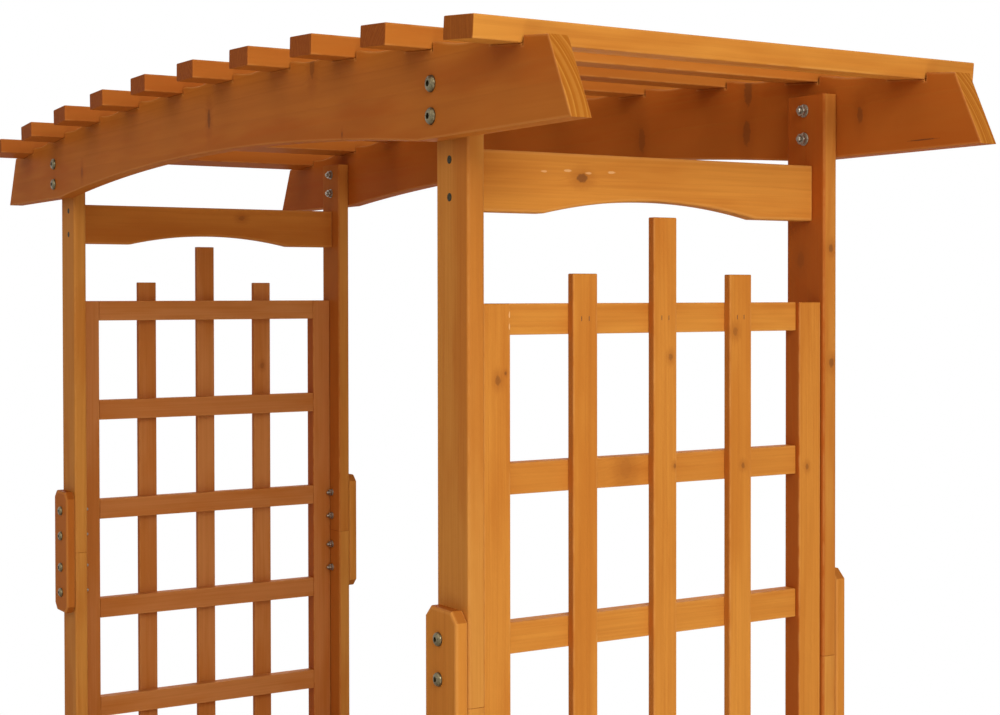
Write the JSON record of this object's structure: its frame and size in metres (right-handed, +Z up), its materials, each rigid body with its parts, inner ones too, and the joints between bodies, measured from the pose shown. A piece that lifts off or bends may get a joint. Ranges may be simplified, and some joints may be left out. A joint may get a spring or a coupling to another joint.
{
  "type": "garden arbor bench",
  "caption": "Wooden garden arbor bench: plank posts, lattice sides, a slatted seat and back, and an arched pergola roof of notched beams and cross slats.",
  "frame": {"origin": "centre of the footprint, on the ground under the four posts", "axes": "+Z up, +Y from the open front towards the backrest, +X to the right of someone who looks at the front"},
  "size_m": [1.912, 0.71, 2.0578],
  "materials": {
    "fir": "satin",
    "fir_dark": "satin",
    "fir_light": "satin",
    "zinc_hardware": "satin"
  },
  "bodies": {
    "root": {"back_board_1": "fir_light", "back_board_2": "fir_light", "back_board_3": "fir_light", "back_board_4": "fir_light", "beam_back": "fir_dark", "beam_front": "fir_dark", "lattice_left": "fir", "lattice_right": "fir", "post_back_left_lower": "fir", "post_back_left_upper": "fir", "post_back_right_lower": "fir", "post_back_right_upper": "fir", "post_front_left_lower": "fir", "post_front_left_upper": "fir", "post_front_right_lower": "fir", "post_front_right_upper": "fir", "roof_slat_1": "fir_light", "roof_slat_10": "fir_light", "roof_slat_2": "fir_light", "roof_slat_3": "fir_light", "roof_slat_4": "fir_light", "roof_slat_5": "fir_light", "roof_slat_6": "fir_light", "roof_slat_7": "fir_light", "roof_slat_8": "fir_light", "roof_slat_9": "fir_light", "seat_bearer_left": "fir_dark", "seat_bearer_middle": "fir_dark", "seat_bearer_right": "fir_dark", "seat_rail_back": "fir_dark", "seat_rail_front": "fir_dark", "seat_slat_1": "fir_light", "seat_slat_2": "fir_light", "seat_slat_3": "fir_light", "seat_slat_4": "fir_light", "seat_slat_5": "fir_light", "seat_slat_6": "fir_light", "side_brace_left": "fir", "side_brace_right": "fir", "splice_cleat_back_left": "fir_light", "splice_cleat_back_right": "fir_light", "splice_cleat_front_left": "fir_light", "splice_cleat_front_right": "fir_light"}
  },
  "joints": []
}
